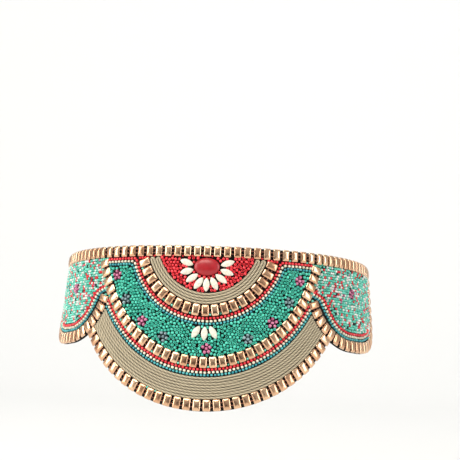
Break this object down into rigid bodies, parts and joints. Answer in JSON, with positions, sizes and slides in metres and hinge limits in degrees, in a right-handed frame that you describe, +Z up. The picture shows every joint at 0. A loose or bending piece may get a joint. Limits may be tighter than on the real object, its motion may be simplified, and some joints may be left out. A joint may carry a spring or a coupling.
{
  "type": "beaded waist belt",
  "caption": "Wide black cloth waist belt with a scalloped lower edge, rows of gold beads, seed bead fields and twisted cord, closed behind by elastic straps and a clasp.",
  "frame": {"origin": "middle of the waist opening, level with the upper bead row at the front", "axes": "+Z up the body, the beaded front faces -Y, +X to the right of the picture"},
  "size_m": [0.2664, 0.2132, 0.1328],
  "materials": {
    "black_cloth": "matte woven black cloth",
    "elastic": "ribbed black elastic",
    "clasp_plastic": "plain black moulding",
    "gold_beads": "polished warm gold plating",
    "twisted_cord": "matte twisted beige cord",
    "line_beads": "glossy opaque glass, red, cream and teal",
    "red_seed_beads": "glossy opaque red glass",
    "green_seed_beads": "glossy opaque turquoise-green glass",
    "mixed_seed_beads": "glossy opaque glass, turquoise, white and red",
    "red_stone": "satin deep red",
    "white_stone": "polished off-white stone look"
  },
  "bodies": {
    "root": {"backing": "black_cloth", "upper_bead_row": "gold_beads", "inner_arc_bead_row": "gold_beads", "middle_arc_bead_row": "gold_beads", "outer_arc_bead_row": "gold_beads", "inner_cord_band": "twisted_cord", "outer_cord_band": "twisted_cord", "inner_bead_lines": "line_beads", "outer_bead_lines": "line_beads", "cabochon": "red_stone", "red_bead_field": "red_seed_beads", "green_bead_field": "green_seed_beads", "clasp": "clasp_plastic", "petal_1": "white_stone", "petal_2": "white_stone", "petal_3": "white_stone", "petal_4": "white_stone", "petal_5": "white_stone", "petal_6": "white_stone", "petal_7": "white_stone", "petal_8": "white_stone", "petal_9": "white_stone", "lower_petal_1": "white_stone", "lower_petal_2": "white_stone", "lower_petal_3": "white_stone", "side_bead_row_left": "gold_beads", "side_bead_field_left": "mixed_seed_beads", "side_bead_lines_left": "line_beads", "elastic_strap_left": "elastic", "side_bead_row_right": "gold_beads", "side_bead_field_right": "mixed_seed_beads", "side_bead_lines_right": "line_beads", "elastic_strap_right": "elastic"}
  },
  "joints": []
}
